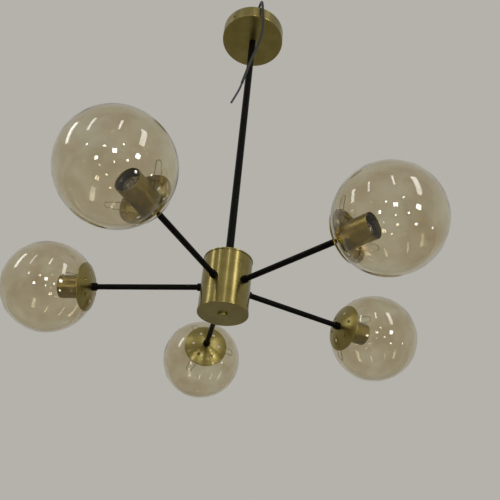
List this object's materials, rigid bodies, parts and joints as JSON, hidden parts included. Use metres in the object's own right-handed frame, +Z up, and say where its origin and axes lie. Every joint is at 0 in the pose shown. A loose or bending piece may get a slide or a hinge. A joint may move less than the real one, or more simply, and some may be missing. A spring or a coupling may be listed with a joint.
{
  "type": "sputnik chandelier",
  "caption": "Ceiling chandelier with a brass canopy, black stem, brass drum hub and level black arms that each hold a tinted clear glass globe.",
  "frame": {"origin": "on the ceiling plane, at the middle of the bracket between its two ceiling screw holes, on the stem's axis", "axes": "+Z up into the ceiling along the stem; +Y along arm 1, the others counter-clockwise seen from above"},
  "size_m": [0.7112, 0.6837, 0.739],
  "materials": {
    "tinted_glass": "clear blown glass with a champagne tint",
    "brushed_brass": "brushed and lacquered brass",
    "black_enamel": "satin black powder coat",
    "black_thermoset": "moulded black thermoset",
    "nickelled_brass": "nickel-plated pressed brass",
    "zinc_steel": "zinc-plated steel",
    "spring_wire": "drawn stainless spring wire",
    "lead_sheath": "smooth black sheath",
    "brown_insulation": "extruded insulation",
    "blue_insulation": "extruded insulation",
    "clear_nylon": "moulded nylon"
  },
  "bodies": {
    "fixture": {"arm_end_collars": "black_enamel", "arm_hub_collars": "black_enamel", "arm_locknuts": "zinc_steel", "arm_tube_1": "black_enamel", "arm_tube_2": "black_enamel", "arm_tube_3": "black_enamel", "arm_tube_4": "black_enamel", "arm_tube_5": "black_enamel", "arm_wires": "brown_insulation", "canopy": "brushed_brass", "canopy_locknut": "zinc_steel", "canopy_side_screws": "brushed_brass", "canopy_washer": "zinc_steel", "ceiling_bracket": "zinc_steel", "globe_spring_clips": "spring_wire", "hub_body": "brushed_brass", "hub_bottom_cover": "brushed_brass", "hub_finial": "brushed_brass", "hub_link_loops": "brown_insulation", "hub_locknut": "zinc_steel", "hub_splice_caps": "clear_nylon", "hub_tie_rod": "zinc_steel", "hub_top_cover": "brushed_brass", "lamp_contacts": "nickelled_brass", "lampholder_1": "black_thermoset", "lampholder_2": "black_thermoset", "lampholder_3": "black_thermoset", "lampholder_4": "black_thermoset", "lampholder_5": "black_thermoset", "lead_core_live": "brown_insulation", "lead_core_neutral": "blue_insulation", "nipple_bushing": "black_thermoset", "screw_shell_1": "nickelled_brass", "screw_shell_2": "nickelled_brass", "screw_shell_3": "nickelled_brass", "screw_shell_4": "nickelled_brass", "screw_shell_5": "nickelled_brass", "socket_cup_1": "brushed_brass", "socket_cup_2": "brushed_brass", "socket_cup_3": "brushed_brass", "socket_cup_4": "brushed_brass", "socket_cup_5": "brushed_brass", "socket_locknuts": "zinc_steel", "stem_lead_riser": "lead_sheath", "stem_top_nipple": "zinc_steel", "stem_tube": "black_enamel", "supply_lead": "lead_sheath", "vented_dish_1": "brushed_brass", "vented_dish_2": "brushed_brass", "vented_dish_3": "brushed_brass", "vented_dish_4": "brushed_brass", "vented_dish_5": "brushed_brass"},
    "globe_1": {"glass_globe_1": "tinted_glass"},
    "globe_2": {"glass_globe_2": "tinted_glass"},
    "globe_3": {"glass_globe_3": "tinted_glass"},
    "globe_4": {"glass_globe_4": "tinted_glass"},
    "globe_5": {"glass_globe_5": "tinted_glass"}
  },
  "joints": [
    {"name": "globe_1_pull_off", "type": "slide", "parent": "fixture", "child": "globe_1", "axis": [0, 1, 0], "range_m": [0, 0.13], "deforming": ["globe_spring_clips"]},
    {"name": "globe_2_pull_off", "type": "slide", "parent": "fixture", "child": "globe_2", "axis": [-0.9511, 0.309, 0], "range_m": [0, 0.13], "deforming": ["globe_spring_clips"]},
    {"name": "globe_3_pull_off", "type": "slide", "parent": "fixture", "child": "globe_3", "axis": [-0.5878, -0.809, 0], "range_m": [0, 0.13], "deforming": ["globe_spring_clips"]},
    {"name": "globe_4_pull_off", "type": "slide", "parent": "fixture", "child": "globe_4", "axis": [0.5878, -0.809, 0], "range_m": [0, 0.13], "deforming": ["globe_spring_clips"]},
    {"name": "globe_5_pull_off", "type": "slide", "parent": "fixture", "child": "globe_5", "axis": [0.9511, 0.309, 0], "range_m": [0, 0.13], "deforming": ["globe_spring_clips"]}
  ]
}
